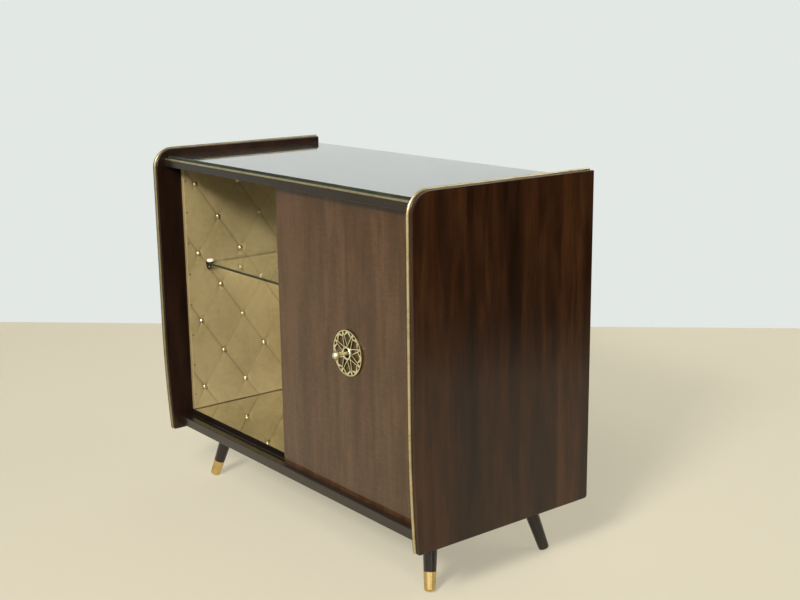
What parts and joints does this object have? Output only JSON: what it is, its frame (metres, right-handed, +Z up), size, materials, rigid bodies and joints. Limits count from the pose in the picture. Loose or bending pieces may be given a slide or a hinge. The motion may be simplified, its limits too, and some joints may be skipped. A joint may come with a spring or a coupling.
{
  "type": "bar cabinet",
  "caption": "Low bar cabinet with glossy dark side panels edged in brass, sliding doors, a brass rosette knob, a tufted lining, a mirror floor, a glass shelf and splayed legs.",
  "frame": {"origin": "on the floor, under the middle of the cabinet's box", "axes": "+X to the right along the cabinet's width, -Y out of the front with the doors, +Z up"},
  "size_m": [0.9, 0.4288, 0.7518],
  "materials": {
    "veneer": "glossy dark red-brown veneer with an upright stripe",
    "track_wood": "satin grey-brown stained wood",
    "plain_wood": "unfinished wood",
    "hardboard": "raw hardboard",
    "lacquer": "glossy near-black lacquer",
    "brass": "polished, slightly aged",
    "glass": "clear, with green edges",
    "mirror": "silvered glass",
    "leatherette": "gold leatherette with a soft sheen",
    "dark_metal": "dark, slightly worn",
    "cap": "pale pinkish white"
  },
  "bodies": {
    "carcass": {"left_side_panel": "veneer", "right_side_panel": "veneer", "left_edge_bead": "brass", "right_edge_bead": "brass", "top_board": "veneer", "top_brass_strip": "brass", "top_glass": "glass", "bottom_board": "track_wood", "back_panel": "hardboard", "floor_base": "track_wood", "floor_mirror": "mirror", "left_lining": "leatherette", "right_lining": "leatherette", "back_lining": "leatherette", "glass_shelf": "glass", "shelf_clip_front_left": "dark_metal", "shelf_clip_front_right": "dark_metal", "shelf_clip_back_left": "dark_metal", "shelf_clip_back_right": "dark_metal", "shelf_cap_front_left": "cap", "shelf_cap_front_right": "cap", "shelf_cap_back_left": "cap", "shelf_cap_back_right": "cap", "leg_front_left": "lacquer", "leg_front_right": "lacquer", "leg_back_left": "lacquer", "leg_back_right": "lacquer", "ferrule_front_left": "brass", "ferrule_front_right": "brass", "leg_block_front_left": "plain_wood", "leg_block_front_right": "plain_wood", "leg_block_back_left": "plain_wood", "leg_block_back_right": "plain_wood"},
    "front_sliding_door": {"front_door": "veneer", "rosette": "brass", "rosette_hub": "brass", "door_knob": "brass", "knob_nut": "brass"},
    "rear_sliding_door": {"rear_door": "veneer", "finger_pull": "brass"}
  },
  "joints": [
    {"name": "front_door_slide", "type": "slide", "parent": "carcass", "child": "front_sliding_door", "axis": [-1, 0, 0], "range_m": [0, 0.4085]},
    {"name": "rear_door_slide", "type": "slide", "parent": "carcass", "child": "rear_sliding_door", "axis": [-1, 0, 0], "range_m": [0, 0.4085]}
  ]
}
